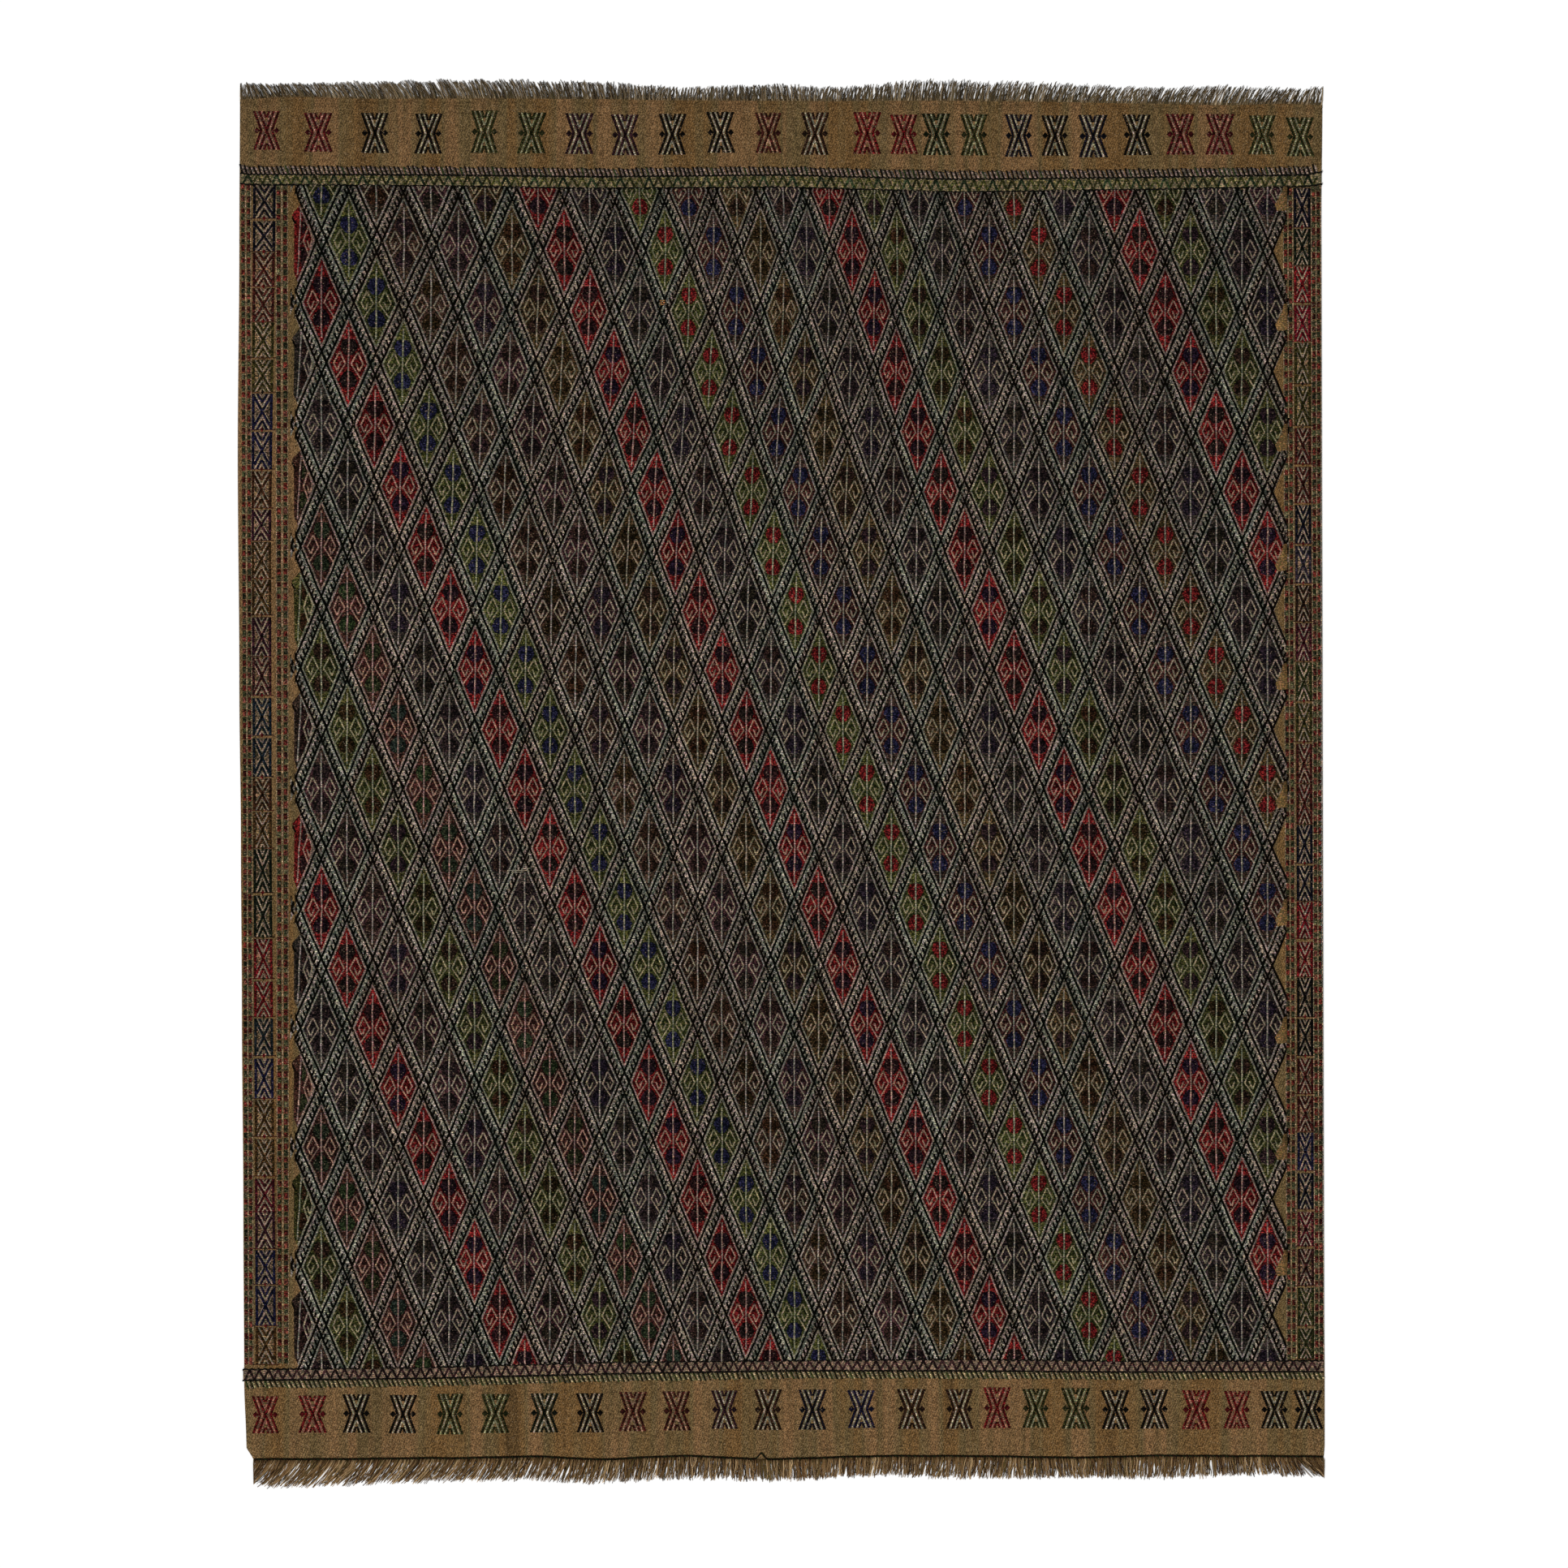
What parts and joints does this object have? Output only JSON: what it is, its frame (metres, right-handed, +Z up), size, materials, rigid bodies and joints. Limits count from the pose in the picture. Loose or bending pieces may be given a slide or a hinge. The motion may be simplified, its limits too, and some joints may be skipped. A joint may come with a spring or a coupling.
{
  "type": "kilim rug",
  "caption": "Flat-woven wool rug lying flat: a brocaded lattice of diamonds between side borders and plain end bands, with a twined end cord and short warp fringes.",
  "frame": {"origin": "on the floor, under the middle of the rug, fringes included", "axes": "+Z up out of the rug's face, +Y along the warp towards the end without the twined cord, +X across the rug from selvedge to selvedge"},
  "size_m": [1.7069, 2.2115, 0.003],
  "materials": {
    "brocaded_wool": "matte wool, dark brocade on a tan plain-woven ground",
    "warp_yarn": "matte tan and brown spun warp yarn",
    "twining_yarn": "matte dark green and black twined yarn"
  },
  "bodies": {
    "root": {"kilim_cloth": "brocaded_wool", "end_twining": "twining_yarn", "warp_fringe_top": "warp_yarn", "warp_fringe_bottom": "warp_yarn"}
  },
  "joints": []
}
